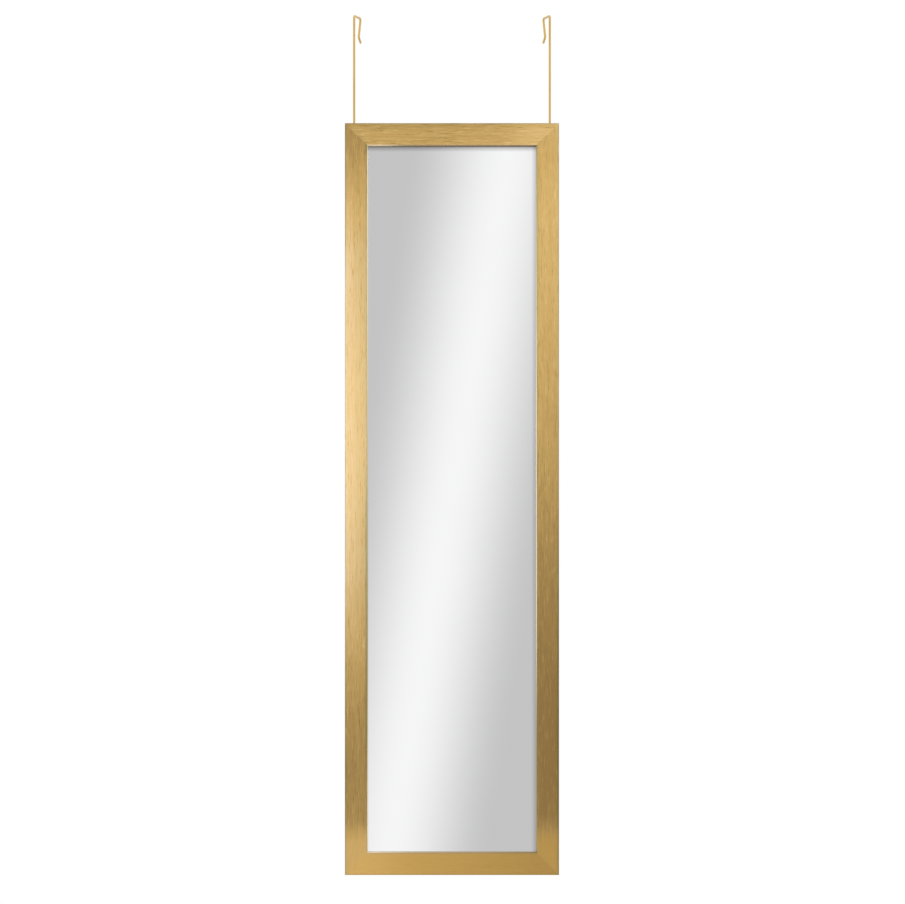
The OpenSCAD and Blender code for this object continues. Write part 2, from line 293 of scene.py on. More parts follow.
# The bevel round the pane, and how far inside its edge its painted highlight begins
BEVEL_W = 0.002
BEVEL_DEPTH = 0.0025
BEVEL_SHIFT = 0.0004
TOP_BEVEL_SHIFT = -0.0003
BEVEL_DEEP = rgb(150, 128, 86)
BEVEL_CREAM = rgb(255, 236, 200)
# The painted light beside it grows between these distances outside it
BESIDE_BEVEL_FROM = 0.0024
BESIDE_BEVEL_TO = 0.0010

# The mitre's hairline, a painted highlight outside and a dark joint inside: its half widths, the shares
# of the moulding's width between which it turns from bright to dark, and how bright it is
MITRE_CORE = 0.0002
MITRE_EDGE = 0.0008
MITRE_TURN_FROM = 0.45
MITRE_TURN_TO = 0.65
MITRE_BRIGHT = 1.12
MITRE_DARK = 0.72
MITRE_AT_FOOT = 0.95

# The foil wraps this far onto the back, with a wavering edge, and raw board shows inside it. In the
# rebate it shows from so far outside the backing board's edge.
FOIL_WRAP = 0.0035
WRAP_WAVER = 0.0008
REBATE_PLAY = 0.0009
RAW_BOARD = rgb(176, 146, 110)
RAW_FIBRE = (1600, 1600, 1600)
RAW_FIBRE_SHADES = (0.25, 0.75, 0.86, 1.1)
FLECKS = (2600, 500)
FLECK_SHADES = (0.66, 0.74, 1.0, 0.72)
RAW_ROUGH = 0.85

# The foot, where the foil is calm and warm, begins so far above this rise and is full so far below it
FOOT_RISE = SIGHT_BOTTOM + 0.020 - MID_Z
FOOT_ABOVE = 0.030
FOOT_BELOW = 0.010

# How much the painted sheen grows towards a stile's foot, and the rise at which it grows fast
LEFT_FOOT_LIFT = 0.62
LEFT_FOOT_TURN = -0.54
RIGHT_FOOT_LIFT = 0.46
RIGHT_FOOT_TURN = -0.53
SLOW_LIFT_FROM = -0.46
SLOW_LIFT_TO = -0.52
SLOW_LIFT_SHARE = 0.08
FAST_LIFT_SHARE = 0.92
LIFT_END = -0.59

# The painted sheen, 0 to 1: gold painted paler where the foil would mirror more light. Each row says
# from where to where, as rises on the stiles and as x on the rails, and the amount at the one and at
# the other.
LEFT_HEAD_FADE = (0.65, 0.38, 0.20, 0.92)
LEFT_FOOT_FADE = (-0.50, -0.04, 0.195, 0.96)
RIGHT_FADE = (-0.45, 0.44, 0.0, 0.57)
RIGHT_HEAD_DIP = (0.47, 0.60, 0.0, 0.09)
TOP_FADE = (-0.13, 0.0, 0.50, 0.45)
TOP_RIGHT_LIFT = (0.07, 0.15, 0.0, 0.23)
BOTTOM_FADE = (-HALF_W, HALF_W, 0.60, 0.33)
BOTTOM_LEFT_LIFT = (-0.04, -0.165, 0.0, 0.16)

# Painted gleams and shades on the foil's face. The rows are as above, those with ACROSS go by shares of
# the moulding's width from its outer edge, and rows of two go from none to all.
LEFT_SLOPE_FOOT = (-0.45, 0.05)
LEFT_SLOPE_HEAD = (0.60, 0.42, 0.35, 1.0)
LEFT_CREASE_UPPER_END = (0.06, -0.06)
LEFT_CREASE_LOWER_END = (-0.48, -0.40)
LEFT_CREASE_CORNER = (0.582, 0.592)
LEFT_CREASE_ACROSS = (0.86, 0.91, 0.0, -1.8)
LEFT_ARRIS_HEAD = (0.36, 0.46)
LEFT_ARRIS_FOOT = (-0.20, -0.34)
LEFT_ARRIS_ACROSS = (0.035, 0.075, -1.3, 0.0)
DIM_HEAD_LOWER_END = (0.30, 0.38)
DIM_HEAD_UPPER_END = (0.48, 0.43)
DIM_FOOT_LOWER_END = (-0.24, -0.16)
DIM_FOOT_UPPER_END = (0.0, -0.09)
DIM_OUTER_END_ACROSS = (0.38, 0.50)
DIM_INNER_END_ACROSS = (0.88, 0.82)
DIMNESS = -0.30
RIGHT_SHADE_ACROSS = (0.02, 0.2, -1.0, 0.0)
RIGHT_ARRIS_ACROSS = (0.05, 0.08, -0.9, 0.0)
RIGHT_SHADE_BELOW = (0.05, -0.15)
RIGHT_INNER_ACROSS = (0.82, 0.93, 0.0, -0.7)
RIGHT_INNER_ABOVE = (-0.1, 0.1)
TOP_SHADE_ACROSS = (0.40, 0.12, 0.0, -0.8)
TOP_SHADE_EASE = (0.0, 0.07, 1.0, 0.35)
BOTTOM_SHADE_ACROSS = (0.14, 0.02, 0.0, -0.3)

# The bevel's painted highlight, from deep to cream, in rows as above
LEFT_BEVEL_UPPER = (-0.18, 0.38, 0.35, 1.0)
LEFT_BEVEL_FOOT = (-0.27, -0.60, 0.35, 0.9)
RIGHT_BEVEL_HEAD = (0.60, 0.17, 0.42, 1.0)
RIGHT_BEVEL_FOOT = (-0.44, -0.15, 0.25, 1.0)
TOP_BEVEL_FADE = (-0.13, -0.07, 0.95, 0.2)
BOTTOM_BEVEL_CORNER = (-0.16, -0.06, 0.64, 0.0)
BOTTOM_BEVEL_FADE = (-0.06, 0.12, 0.36, 0.08)


def foot_lift(r, amount, turn):
    """How much the painted sheen grows towards a stile's foot.

    A small share of the amount comes from SLOW_LIFT_FROM to SLOW_LIFT_TO, the rest from the turn to
    LIFT_END, and the two are added.
    """
    slow = r.span(r.rise, SLOW_LIFT_FROM, SLOW_LIFT_TO, 0.0, SLOW_LIFT_SHARE * amount)
    return r.math("ADD", slow, r.span(r.rise, turn, LIFT_END, 0.0, FAST_LIFT_SHARE * amount))


def foot_of(r):
    """0 from 89 mm above the frame's lower edge upwards, and 1 in its lowest 49 mm."""
    return r.span(r.rise, FOOT_RISE + FOOT_ABOVE, FOOT_RISE - FOOT_BELOW)


def foil_moulding(name, along, painted_sheen, bevel_highlight, painted_light, painted_beside_bevel,
                  liveliness=1.0, bevel_shift=BEVEL_SHIFT):
    """Fibreboard wrapped in brushed gold foil, whose grain runs along the x or the z axis.

    The gold's tone is its painted sheen at a place plus the grain's. Its colour is read off FOIL_TONES
    by that tone, and multiplied by its painted gleam and shade, by the foot's warmth and by the painted
    light along the arris and beside the bevel; the bevel itself takes a painted highlight. The third
    and fourth arguments are functions of the recipe that say how pale the gold is painted, as sheen on
    the face and as highlight on the bevel, from 0 to 1. The fifth is a function of the recipe and of
    how far across the moulding a place is, 0 outside to 1 inside, and gives its painted shade, below 0,
    and gleam, above 0, from -2 to 1. liveliness is how strong the brushed grain is.
    """
    r = Recipe(name)

    def lengthwise(across, length):
        """Cells per metre on three axes: length along the grain, across on the other two."""
        cells = [across] * 3
        cells[along] = length
        return cells

    # Distance in from the nearest outer edge, equal on both sides of a mitre
    from_side = r.math("SUBTRACT", HALF_W, r.math("ABSOLUTE", r.x))
    from_end = r.math("SUBTRACT", HALF_H, r.math("ABSOLUTE", r.rise))
    inset = r.math("MINIMUM", from_side, from_end)
    foot = foot_of(r)
    # Brushed hairlines, fine grain, short scored and shining dashes, and broad bands, all lengthwise
    hairs = r.noise(lengthwise(*HAIRS), detail=2, seed=11.3)
    fine = r.noise(lengthwise(*FINE_GRAIN), detail=3)
    dashes = r.noise(lengthwise(*DASHES), detail=1, seed=3.1)
    broad = r.noise(lengthwise(*BROAD_BANDS), detail=2, seed=7.7)
    scored = r.span(dashes, *SCORED)
    shining = r.span(dashes, *SHINING)
    grain = r.math("ADD", r.swing(fine, FINE_IN_TONE), r.swing(broad, BROAD_IN_TONE))
    grain = r.math("ADD", grain, r.swing(hairs, HAIRS_IN_TONE))
    grain = r.math("ADD", grain, r.math("SUBTRACT", shining, scored))
    # The outer sides and the wrap on the back have one paleness and a calm grain, and no painted light
    behind_face = r.span(r.y, FACE_Y + SIDE_FROM, FACE_Y + SIDE_TO)
    on_side = r.math("MULTIPLY", behind_face, r.math("LESS_THAN", inset, SIDE_REACH))
    pale = r.blend(on_side, painted_sheen(r), SIDE_PALENESS)
    lively = r.span(pale, LIVELY_FROM, LIVELY_TO,
                    LEAST_LIVELY * liveliness, MOST_LIVELY * liveliness, smooth=False)
    grain = r.math("MULTIPLY", grain, lively)
    grain = r.math("MULTIPLY", grain, r.blend(foot, 1.0, FOOT_CALM))
    grain = r.math("MULTIPLY", grain, r.blend(on_side, 1.0, SIDE_CALM))
    tone = r.math("ADD", pale, grain)
    gold = r.ramp(tone, FOIL_TONES)
    gold = r.mix(foot, gold, FOOT_WARMTH, how="MULTIPLY")
    # Painted gleams and shades on the face, none on the outer sides
    across = r.math("DIVIDE", inset, MOULDING_W)
    lift = r.math("MULTIPLY", painted_light(r, across), r.math("SUBTRACT", 1.0, on_side))
    painted_light_tint = r.ramp(r.span(lift, PAINTED_DEEPEST, PAINTED_BRIGHTEST, smooth=False), PAINTED_LIGHT_TINTS)
    gold = r.mix(1.0, gold, painted_light_tint, how="MULTIPLY")
    # A painted reflection along the outer arris, but not at the lower edge, and painted light beside
    # the bevel
    from_top = r.math("SUBTRACT", HALF_H, r.rise)
    arris = r.span(r.math("MINIMUM", from_side, from_top), ARRIS_FROM, ARRIS_TO, 1.0, 0.0)
    arris = r.math("MULTIPLY", arris, r.math("LESS_THAN", r.y, FACE_Y + ARRIS_DEPTH))
    gold = r.mix(arris, gold, ARRIS_PAINTED_REFLECTION, how="MULTIPLY")
    bevel_edge = MOULDING_W - BEVEL_W + bevel_shift
    beside_bevel = r.span(inset, bevel_edge - BESIDE_BEVEL_FROM, bevel_edge - BESIDE_BEVEL_TO)
    gold = r.mix(beside_bevel, gold, painted_beside_bevel, how="MULTIPLY")
    # The bevel's colour is a painted highlight, from BEVEL_DEEP to BEVEL_CREAM
    on_bevel = r.math("MULTIPLY", r.math("GREATER_THAN", inset, bevel_edge),
                      r.math("LESS_THAN", r.y, FACE_Y + BEVEL_DEPTH + ON_EDGE))
    bevel_tone = r.math("ADD", bevel_highlight(r), r.swing(fine, FINE_IN_BEVEL))
    gold = r.mix(on_bevel, gold, r.mix(bevel_tone, BEVEL_DEEP, BEVEL_CREAM))
    # The mitre: a dark joint at the sight corner, a painted highlight along it at the outer corner, a
    # faint one at the foot
    joint = r.math("ABSOLUTE", r.math("SUBTRACT", from_side, from_end))
    hairline = r.span(inset, MOULDING_W * MITRE_TURN_FROM, MOULDING_W * MITRE_TURN_TO,
                      MITRE_BRIGHT, MITRE_DARK)
    hairline = r.blend(foot, hairline, MITRE_AT_FOOT)
    gold = r.scaled(gold, r.span(joint, MITRE_CORE, MITRE_EDGE, hairline, 1.0))
    # Raw board shows on the back inside the foil's wrap, and on the walls of the rebate
    on_back = r.math("GREATER_THAN", r.y, BACK_Y - ON_BACK)
    wrap = r.math("ADD", FOIL_WRAP, r.math("MULTIPLY", broad, WRAP_WAVER))
    past_wrap = r.math("GREATER_THAN", inset, wrap)
    in_rebate = r.math("MULTIPLY", r.math("GREATER_THAN", r.y, GLASS_LOW.y - ON_EDGE),
                       r.math("GREATER_THAN", inset, BOARD_INSET - REBATE_PLAY))
    raw = r.math("MAXIMUM", r.math("MULTIPLY", on_back, past_wrap), in_rebate)
    fibre = r.noise(RAW_FIBRE, detail=4, roughness=0.6, seed=1.3)
    fleck = r.span(r.noise(lengthwise(*FLECKS), detail=1, seed=9.2), *FLECK_SHADES)
    raw_board = r.scaled(RAW_BOARD, r.math("MULTIPLY", r.span(fibre, *RAW_FIBRE_SHADES), fleck))
    colour = r.mix(raw, gold, raw_board)
    rough = r.math("ADD", FOIL_ROUGH,
                   r.math("ADD", r.swing(fine, FINE_IN_ROUGH), r.swing(hairs, HAIRS_IN_ROUGH)))
    rough = r.math("MAXIMUM", rough, r.math("MULTIPLY", raw, RAW_ROUGH))
    # Brushed foil blurs what it mirrors across its grain
    blurred = r.node("ShaderNodeCombineXYZ", X=float(along == ALONG_Z), Z=float(along == ALONG_X))
    metal = r.math("SUBTRACT", 1.0, raw)
    height = r.mix(raw, r.math("ADD", fine, hairs), fibre)
    return r.finish(Base_Color=colour, Metallic=metal, Roughness=rough,
                    Anisotropic=FOIL_BRUSHED, Tangent=blurred.outputs[0],
                    Normal=r.bump(height, FOIL_BUMP, FOIL_BUMP_STRENGTH))


# Painted sheen on the left stile
def painted_sheen_left(r):
    """The lesser of a fade to the head and one to the foot, plus the foot's lift."""
    upper = r.span(r.rise, *LEFT_HEAD_FADE)
    lower = r.span(r.rise, *LEFT_FOOT_FADE)
    steady = r.math("MINIMUM", upper, lower)
    return r.math("ADD", steady, foot_lift(r, LEFT_FOOT_LIFT, LEFT_FOOT_TURN))


# Painted sheen on the right stile
def painted_sheen_right(r):
    """A fade down to the foot less a dip at the head, plus the foot's lift."""
    steady = r.math("SUBTRACT", r.span(r.rise, *RIGHT_FADE), r.span(r.rise, *RIGHT_HEAD_DIP))
    return r.math("ADD", steady, foot_lift(r, RIGHT_FOOT_LIFT, RIGHT_FOOT_TURN))


# Painted sheen on the top rail
def painted_sheen_top(r):
    """A slight fade over the left half plus a lift towards the right end."""
    return r.math("ADD", r.span(r.x, *TOP_FADE), r.span(r.x, *TOP_RIGHT_LIFT))


# Painted sheen on the bottom rail
def painted_sheen_bottom(r):
    """A steady fade from left to right plus a lift towards the left end."""
    steady = r.span(r.x, *BOTTOM_FADE, smooth=False)
    return r.math("ADD", steady, r.span(r.x, *BOTTOM_LEFT_LIFT))


# Painted light on the left stile: a gleam, and shades in the crease, on the arris and as a dimness
def painted_light_left(r, across):
    """A slope from a gleam outside to a shade inside, plus a crease, a shaded arris and a dimness.

    The slope is 1 at the outer edge and -1 at the inner one, times the lesser of a fade to the foot
    and one to the head. The painted shade of the crease runs beside the bevel below the middle and at
    the upper corner. The arris is shaded near both ends. The painted dimness is on the inner half, just
    above and just below the palest stretch.
    """
    turned = r.math("MULTIPLY", r.math("SUBTRACT", 0.5, across), 2.0)
    strength = r.math("MINIMUM", r.span(r.rise, *LEFT_SLOPE_FOOT), r.span(r.rise, *LEFT_SLOPE_HEAD))
    slope = r.math("MULTIPLY", turned, strength)
    below_middle = r.math("MINIMUM", r.span(r.rise, *LEFT_CREASE_UPPER_END),
                          r.span(r.rise, *LEFT_CREASE_LOWER_END))
    creased = r.math("MAXIMUM", below_middle, r.span(r.rise, *LEFT_CREASE_CORNER))
    crease = r.math("MULTIPLY", r.span(across, *LEFT_CREASE_ACROSS), creased)
    near_ends = r.math("MAXIMUM", r.span(r.rise, *LEFT_ARRIS_HEAD), r.span(r.rise, *LEFT_ARRIS_FOOT))
    arris = r.math("MULTIPLY", r.span(across, *LEFT_ARRIS_ACROSS), near_ends)
    above = r.math("MINIMUM", r.span(r.rise, *DIM_HEAD_LOWER_END), r.span(r.rise, *DIM_HEAD_UPPER_END))
    below = r.math("MINIMUM", r.span(r.rise, *DIM_FOOT_LOWER_END), r.span(r.rise, *DIM_FOOT_UPPER_END))
    inner_half = r.math("MINIMUM", r.span(across, *DIM_OUTER_END_ACROSS),
                        r.span(across, *DIM_INNER_END_ACROSS))
    dim = r.math("MULTIPLY", r.math("MULTIPLY", inner_half, DIMNESS), r.math("MAXIMUM", above, below))
    return r.math("ADD", r.math("ADD", slope, dim), r.math("ADD", crease, arris))


# Painted shade on the right stile
def painted_light_right(r, across):
    """Two shades by the outer arris below the middle, one narrower, plus one by the bevel above it."""
    outer = r.math("ADD", r.span(across, *RIGHT_SHADE_ACROSS), r.span(across, *RIGHT_ARRIS_ACROSS))
    outer = r.math("MULTIPLY", outer, r.span(r.rise, *RIGHT_SHADE_BELOW))
    inner = r.math("MULTIPLY", r.span(across, *RIGHT_INNER_ACROSS), r.span(r.rise, *RIGHT_INNER_ABOVE))
    return r.math("ADD", outer, inner)


# Painted shade on the top rail
def painted_light_top(r, across):
    """A shade over the outer part, times an ease that leaves a third of it at the right."""
    return r.math("MULTIPLY", r.span(across, *TOP_SHADE_ACROSS), r.span(r.x, *TOP_SHADE_EASE))


# Painted shade on the bottom rail
def painted_light_bottom(r, across):
    """Even but for the faintest shade by the outer arris."""
    return r.span(across, *BOTTOM_SHADE_ACROSS)


# Painted highlight on the left bevel
def bevel_highlight_left(r):
    """The greater of a line up to cream at the head and a rise towards the foot."""
    upper = r.span(r.rise, *LEFT_BEVEL_UPPER, smooth=False)
    return r.math("MAXIMUM", upper, r.span(r.rise, *LEFT_BEVEL_FOOT))


# Painted highlight on the right bevel
def bevel_highlight_right(r):
    """The lesser of a line down to the head and a fall towards the foot, so cream round the middle."""
    upper = r.span(r.rise, *RIGHT_BEVEL_HEAD, smooth=False)
    return r.math("MINIMUM", upper, r.span(r.rise, *RIGHT_BEVEL_FOOT))


# Painted highlight on the top bevel
def bevel_highlight_top(r):
    """Cream at the left end and deep along the rest."""
    return r.span(r.x, *TOP_BEVEL_FADE)


# Painted highlight on the bottom bevel
def bevel_highlight_bottom(r):
    """A line down from the left corner plus a second one on to the right."""
    near_corner = r.span(r.x, *BOTTOM_BEVEL_CORNER, smooth=False)
    return r.math("ADD", near_corner, r.span(r.x, *BOTTOM_BEVEL_FADE, smooth=False))


# ---- pane ----

SILVER = rgb(247, 247, 248)
BACK_PAINT = rgb(120, 124, 122)
BACK_PAINT_ROUGH = 0.6
# Painted shadows along the sight edges: from and to as distances from the edge, and the silver's share
# at each
TOP_EDGE_SHADE = (0.001, 0.0105, 0.56, 1.0)
RIGHT_EDGE_SHADE = (0.0, 0.009, 0.72, 1.0)
TOP_EDGE_LINE = (0.0008, 0.0020, 0.35, 1.0)
HAZE = (9, 9, 9)
HAZE_SHADES = (0.2, 0.8, 0.99, 1.0)


def silvered_glass():
    """Float glass with a silver coat: a clear mirror in front, and grey paint on its back.

    The silver is multiplied by a painted shadow of the frame's lip along the top sight edge, one along
    the right sight edge, a darker painted shadow line at the very top and a hardly visible haze.
    """
    r = Recipe("silvered_glass")
    from_top = r.math("SUBTRACT", SIGHT_TOP, r.z)
    from_right = r.math("SUBTRACT", SIGHT_X, r.x)
    shade = r.math("MULTIPLY", r.span(from_top, *TOP_EDGE_SHADE), r.span(from_right, *RIGHT_EDGE_SHADE))
    shade = r.math("MULTIPLY", shade, r.span(from_top, *TOP_EDGE_LINE))
    haze = r.noise(HAZE, detail=3)
    silver = r.scaled(SILVER, r.math("MULTIPLY", shade, r.span(haze, *HAZE_SHADES)))
    painted = r.math("GREATER_THAN", r.y, GLASS_HIGH.y - ON_BACK)
    colour = r.mix(painted, silver, BACK_PAINT)
    return r.finish(Base_Color=colour, Metallic=r.math("SUBTRACT", 1.0, painted),
                    Roughness=r.math("MULTIPLY", painted, BACK_PAINT_ROUGH))


# ---- board, steel, wire, rubber ----

# Noise values between which a colour goes from its dark to its light end
TONES = (0.3, 0.7)

BOARD_DARK = rgb(100, 72, 50)
BOARD_LIGHT = rgb(136, 102, 72)
BOARD_FIBRE = (2100, 2100, 2100)
BOARD_CLOUDS = (9, 9, 6)
BOARD_FIBRE_SHARE = 0.84
BOARD_CLOUD_SHARE = 0.16
# Loose fibres lie along z where they are pale and along x where they are dark
PALE_FIBRES = (2200, 900, 420)
PALE_FIBRE_SHADES = (0.68, 0.74, 1.0, 1.28)
DARK_FIBRES = (380, 900, 2000)
DARK_FIBRE_SHADES = (0.68, 0.75, 1.0, 0.70)
SCREEN_PITCH = 0.0014
SCREEN_IN_HEIGHT = 0.3
BOARD_ROUGH = 0.82
BOARD_BUMP = 0.00012
BOARD_BUMP_STRENGTH = 0.8

ZINC_DARK = rgb(176, 174, 166)
ZINC_LIGHT = rgb(214, 212, 204)
ZINC_ROUGH = 0.34
STEEL_DARK = rgb(168, 168, 168)
STEEL_LIGHT = rgb(206, 206, 204)
STEEL_ROUGH = 0.3
ROLLED_GRAIN = (2600, 2600, 260)
ROLLED_CLOUDS = (160, 160, 160)
ROLLED_GRAIN_SHARE = 0.5
ROLLED_CLOUD_SHARE = 0.5
CLOUDS_IN_ROUGH = 0.25
ROLLED_BUMP = 0.00002
ROLLED_BUMP_STRENGTH = 0.6

WIRE_DULL = rgb(216, 180, 103)
WIRE_BRIGHT = rgb(231, 195, 119)
DRAW_LINES = (3200, 3200, 30)
WIRE_PATCHES = (90, 90, 14)
DIE_MARKS = (1100, 1100, 12)
DRAW_LINE_SHARE = 0.5
WIRE_PATCH_SHARE = 0.5
WIRE_ROUGHS = (0.35, 0.65, 0.26, 0.36)
WIRE_BUMP = 0.00001
WIRE_BUMP_STRENGTH = 0.5

RUBBER_BLACK = rgb(34, 34, 35)
RUBBER_BLOOM = rgb(58, 57, 56)
BLOOM = (500, 500, 500)
BLOOM_TONES = (0.35, 0.7)
SPECKS = (4000, 4000, 4000)
RUBBER_ROUGH = 0.62
RUBBER_BUMP = 0.00005
RUBBER_BUMP_STRENGTH = 0.7


def hardboard():
    """Pressed brown fibreboard with the print of a screen on it.

    Its tone is fine fibre and faint clouds in their shares, times loose pale and dark fibres. The
    print is a sine wave along x times one along z, and its height is added to the fibre's.
    """
    r = Recipe("hardboard")
    fibre = r.noise(BOARD_FIBRE, detail=4, roughness=0.65)
    cloud = r.noise(BOARD_CLOUDS, detail=4, seed=2.0)
    tone = r.weighed(fibre, BOARD_FIBRE_SHARE, cloud, BOARD_CLOUD_SHARE)
    colour = r.mix(r.span(tone, *TONES), BOARD_DARK, BOARD_LIGHT)
    pale_fibres = r.span(r.noise(PALE_FIBRES, detail=1, seed=8.1), *PALE_FIBRE_SHADES)
    dark_fibres = r.span(r.noise(DARK_FIBRES, detail=1, seed=5.7), *DARK_FIBRE_SHADES)
    colour = r.scaled(colour, r.math("MULTIPLY", pale_fibres, dark_fibres))
    weave_x = r.math("SINE", r.math("MULTIPLY", r.x, 2 * math.pi / SCREEN_PITCH))
    weave_z = r.math("SINE", r.math("MULTIPLY", r.z, 2 * math.pi / SCREEN_PITCH))
    screen = r.math("MULTIPLY", weave_x, weave_z)
    height = r.math("ADD", r.math("MULTIPLY", screen, SCREEN_IN_HEIGHT), fibre)
    return r.finish(Base_Color=colour, Roughness=BOARD_ROUGH,
                    Normal=r.bump(height, BOARD_BUMP, BOARD_BUMP_STRENGTH))


def rolled_steel(name, dark, light, roughness):
    """Plated or bright steel: rolled grain and clouds, half and half, from dark to light.

    Its roughness sways with the clouds.
    """
    r = Recipe(name)
    grain = r.noise(ROLLED_GRAIN, detail=3)
    cloud = r.noise(ROLLED_CLOUDS, detail=4, seed=4.0)
    tone = r.weighed(grain, ROLLED_GRAIN_SHARE, cloud, ROLLED_CLOUD_SHARE)
    colour = r.mix(r.span(tone, *TONES), dark, light)
    rough = r.math("ADD", roughness, r.swing(cloud, CLOUDS_IN_ROUGH))
    return r.finish(Base_Color=colour, Metallic=1.0, Roughness=rough,
                    Normal=r.bump(grain, ROLLED_BUMP, ROLLED_BUMP_STRENGTH))


def gold_wire():
    """Wire plated a soft gold: draw lines along the shank and patches, half and half, dull to bright.

    It is rougher where the patches are high, and the die's marks stand in its height.
    """
    r = Recipe("gold_wire")
    drawn = r.noise(DRAW_LINES, detail=2)
    patches = r.noise(WIRE_PATCHES, detail=3, seed=5.0)
    tone = r.weighed(drawn, DRAW_LINE_SHARE, patches, WIRE_PATCH_SHARE)
    colour = r.mix(r.span(tone, *TONES), WIRE_DULL, WIRE_BRIGHT)
    rough = r.span(patches, *WIRE_ROUGHS)
    die_marks = r.noise(DIE_MARKS, detail=1, seed=2.2)
    return r.finish(Base_Color=colour, Metallic=1.0, Roughness=rough,
                    Normal=r.bump(die_marks, WIRE_BUMP, WIRE_BUMP_STRENGTH))


def black_rubber():
    """Black rubber that turns greyer where its bloom is high, with a fine speckled height."""
    r = Recipe("black_rubber")
    bloom = r.noise(BLOOM, detail=4)
    speck = r.noise(SPECKS, detail=2, seed=6.0)
    colour = r.mix(r.span(bloom, *BLOOM_TONES), RUBBER_BLACK, RUBBER_BLOOM)
    return r.finish(Base_Color=colour, Roughness=RUBBER_ROUGH,
                    Normal=r.bump(speck, RUBBER_BUMP, RUBBER_BUMP_STRENGTH))


# ---- studio ----

RING_CORNERS = 96
WALL_RADIUS = 9.0
WALL_LOW = -6.0
WALL_HIGH = 7.0
FLOOR_Z = -2.03
FLOOR_RADIUS = 4.2
# The floor fades to white from this radius to this share of its own
FLOOR_FADE_FROM = 1.2
FLOOR_FADE_SHARE = 0.95
FLOOR_GREY = (0.76, 0.76, 0.76, 1.0)

# The pale strip of light behind the camera that the pane shows, as it lies in the photograph
STRIP_MID_PX = (454, 474)
STRIP_LEAN = 108 / 638
STRIP_HALF_WIDTH_PX = 100
STRIP_LEVEL = 0.99
WALL_LEVEL = 0.594
STRIP_COUNT = 54
# Turns from the camera's direction between which the strips give way to slow swells of light
SWELL_FROM = math.radians(9)
SWELL_TO = math.radians(17)
SWELL_LEVEL = 0.78
SWELL_HEIGHT = 0.13
SWELL_COUNT = 7
# Turns between which the walls at both sides turn plain white, and between which they end
SIDE_WALL_FROM = (math.radians(55), math.radians(70))
SIDE_WALL_TO = (math.radians(110), math.radians(125))
# Heights between which the wall fades to the white of the floor's rim
WALL_FADE = (-2.3, -3.1)
# Rays that pass the wall as if it weren't there
WALL_UNSEEN_BY = ("camera", "diffuse", "transmission", "volume_scatter", "shadow")

# Level of the world's light on matt surfaces
WORLD_LEVEL = 0.95

# Soft lamps: name, place, point it is aimed at, width and height, watts
LAMPS = (
    ("left_box", (-0.50, -3.0, -0.71), (-0.16, 0, -0.71), (0.5, 0.46), 3.3),
    ("top_right_box", (0.50, -3.0, 0.00), (0.16, 0, -0.40), (0.5, 0.6), 3.6),
    ("low_left_box", (-0.20, -3.0, -1.88), (-0.1, 0, -1.42), (0.7, 0.22), 1.0),
)
# Nodes that the lamps don't light, as they don't light the floor
UNLIT_NODES = ("mirror_glass", "hook_left", "hook_right")


def stage_piece(name, corners, faces, material):
    """A piece of the studio, not of the object: a mesh of these corners and faces, in one material."""
    mesh = bpy.data.meshes.new(name)
    mesh.from_pydata(corners.tolist(), [], faces.tolist())
    mesh.materials.append(material)
    made = bpy.data.objects.new(name, mesh)
    bpy.context.scene.collection.objects.link(made)
    return made


def ring_turns():
    """Turns of a ring's corners, a full circle in equal steps."""
    return np.linspace(0, 2 * math.pi, RING_CORNERS, endpoint=False)


def glow(recipe, colour, strength):
    """The material gives off this colour at this strength, and nothing else."""
    shader = recipe.node("ShaderNodeEmission", Color=colour, Strength=strength)
    recipe.tree.links.new(shader.outputs[0], recipe.out.inputs["Surface"])
    return recipe.material


